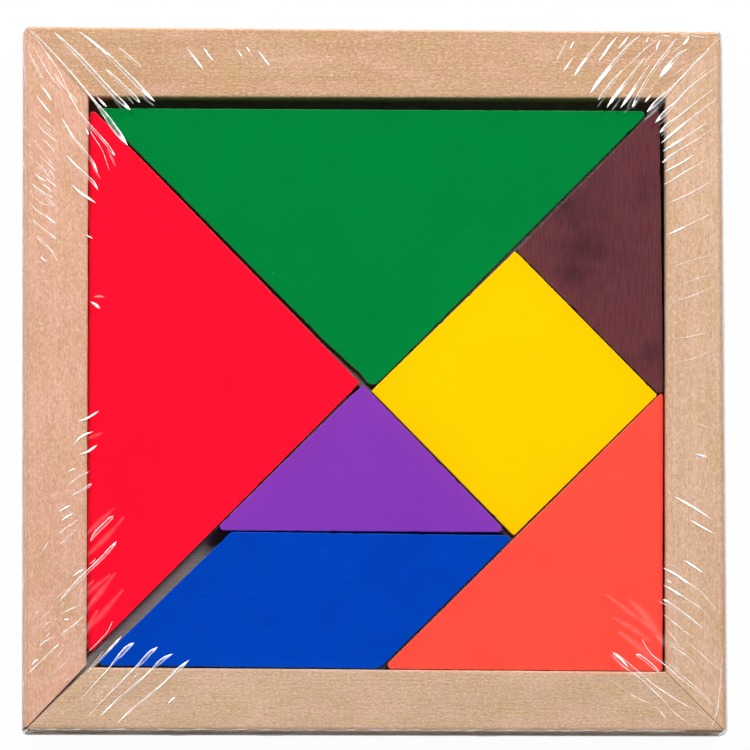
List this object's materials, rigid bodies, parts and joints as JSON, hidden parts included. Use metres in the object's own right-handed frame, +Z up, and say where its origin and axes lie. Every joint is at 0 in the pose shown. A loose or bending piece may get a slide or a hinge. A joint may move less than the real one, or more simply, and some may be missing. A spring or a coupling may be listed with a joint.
{
  "type": "tangram puzzle",
  "caption": "Square wooden tray with mitred rails, filled with flat painted wooden puzzle shapes that fit together into a square, sealed in clear shrink film",
  "frame": {"origin": "middle of the underside of the wrapped tray", "axes": "+Z is up, out of the open side of the tray; +Y points to the top rail and +X to the right rail, as seen from above"},
  "size_m": [0.1502, 0.1514, 0.0103],
  "materials": {
    "rail_wood": "bare planed softwood, matte",
    "board_wood": "thin brown-grey panel, matte",
    "green_paint": "painted wood, satin",
    "red_paint": "painted wood, satin",
    "orange_paint": "painted wood, satin",
    "yellow_paint": "painted wood, satin",
    "blue_paint": "painted wood, satin",
    "purple_paint": "painted wood, satin",
    "maroon_paint": "stained wood, satin",
    "clear_film": "clear glossy shrink film"
  },
  "bodies": {
    "root": {"rail_left": "rail_wood", "rail_right": "rail_wood", "rail_top": "rail_wood", "rail_bottom": "rail_wood", "backing_board": "board_wood", "large_triangle_green": "green_paint", "large_triangle_red": "red_paint", "medium_triangle_orange": "orange_paint", "square_yellow": "yellow_paint", "parallelogram_blue": "blue_paint", "small_triangle_purple": "purple_paint", "small_triangle_maroon": "maroon_paint", "shrink_film": "clear_film"}
  },
  "joints": []
}
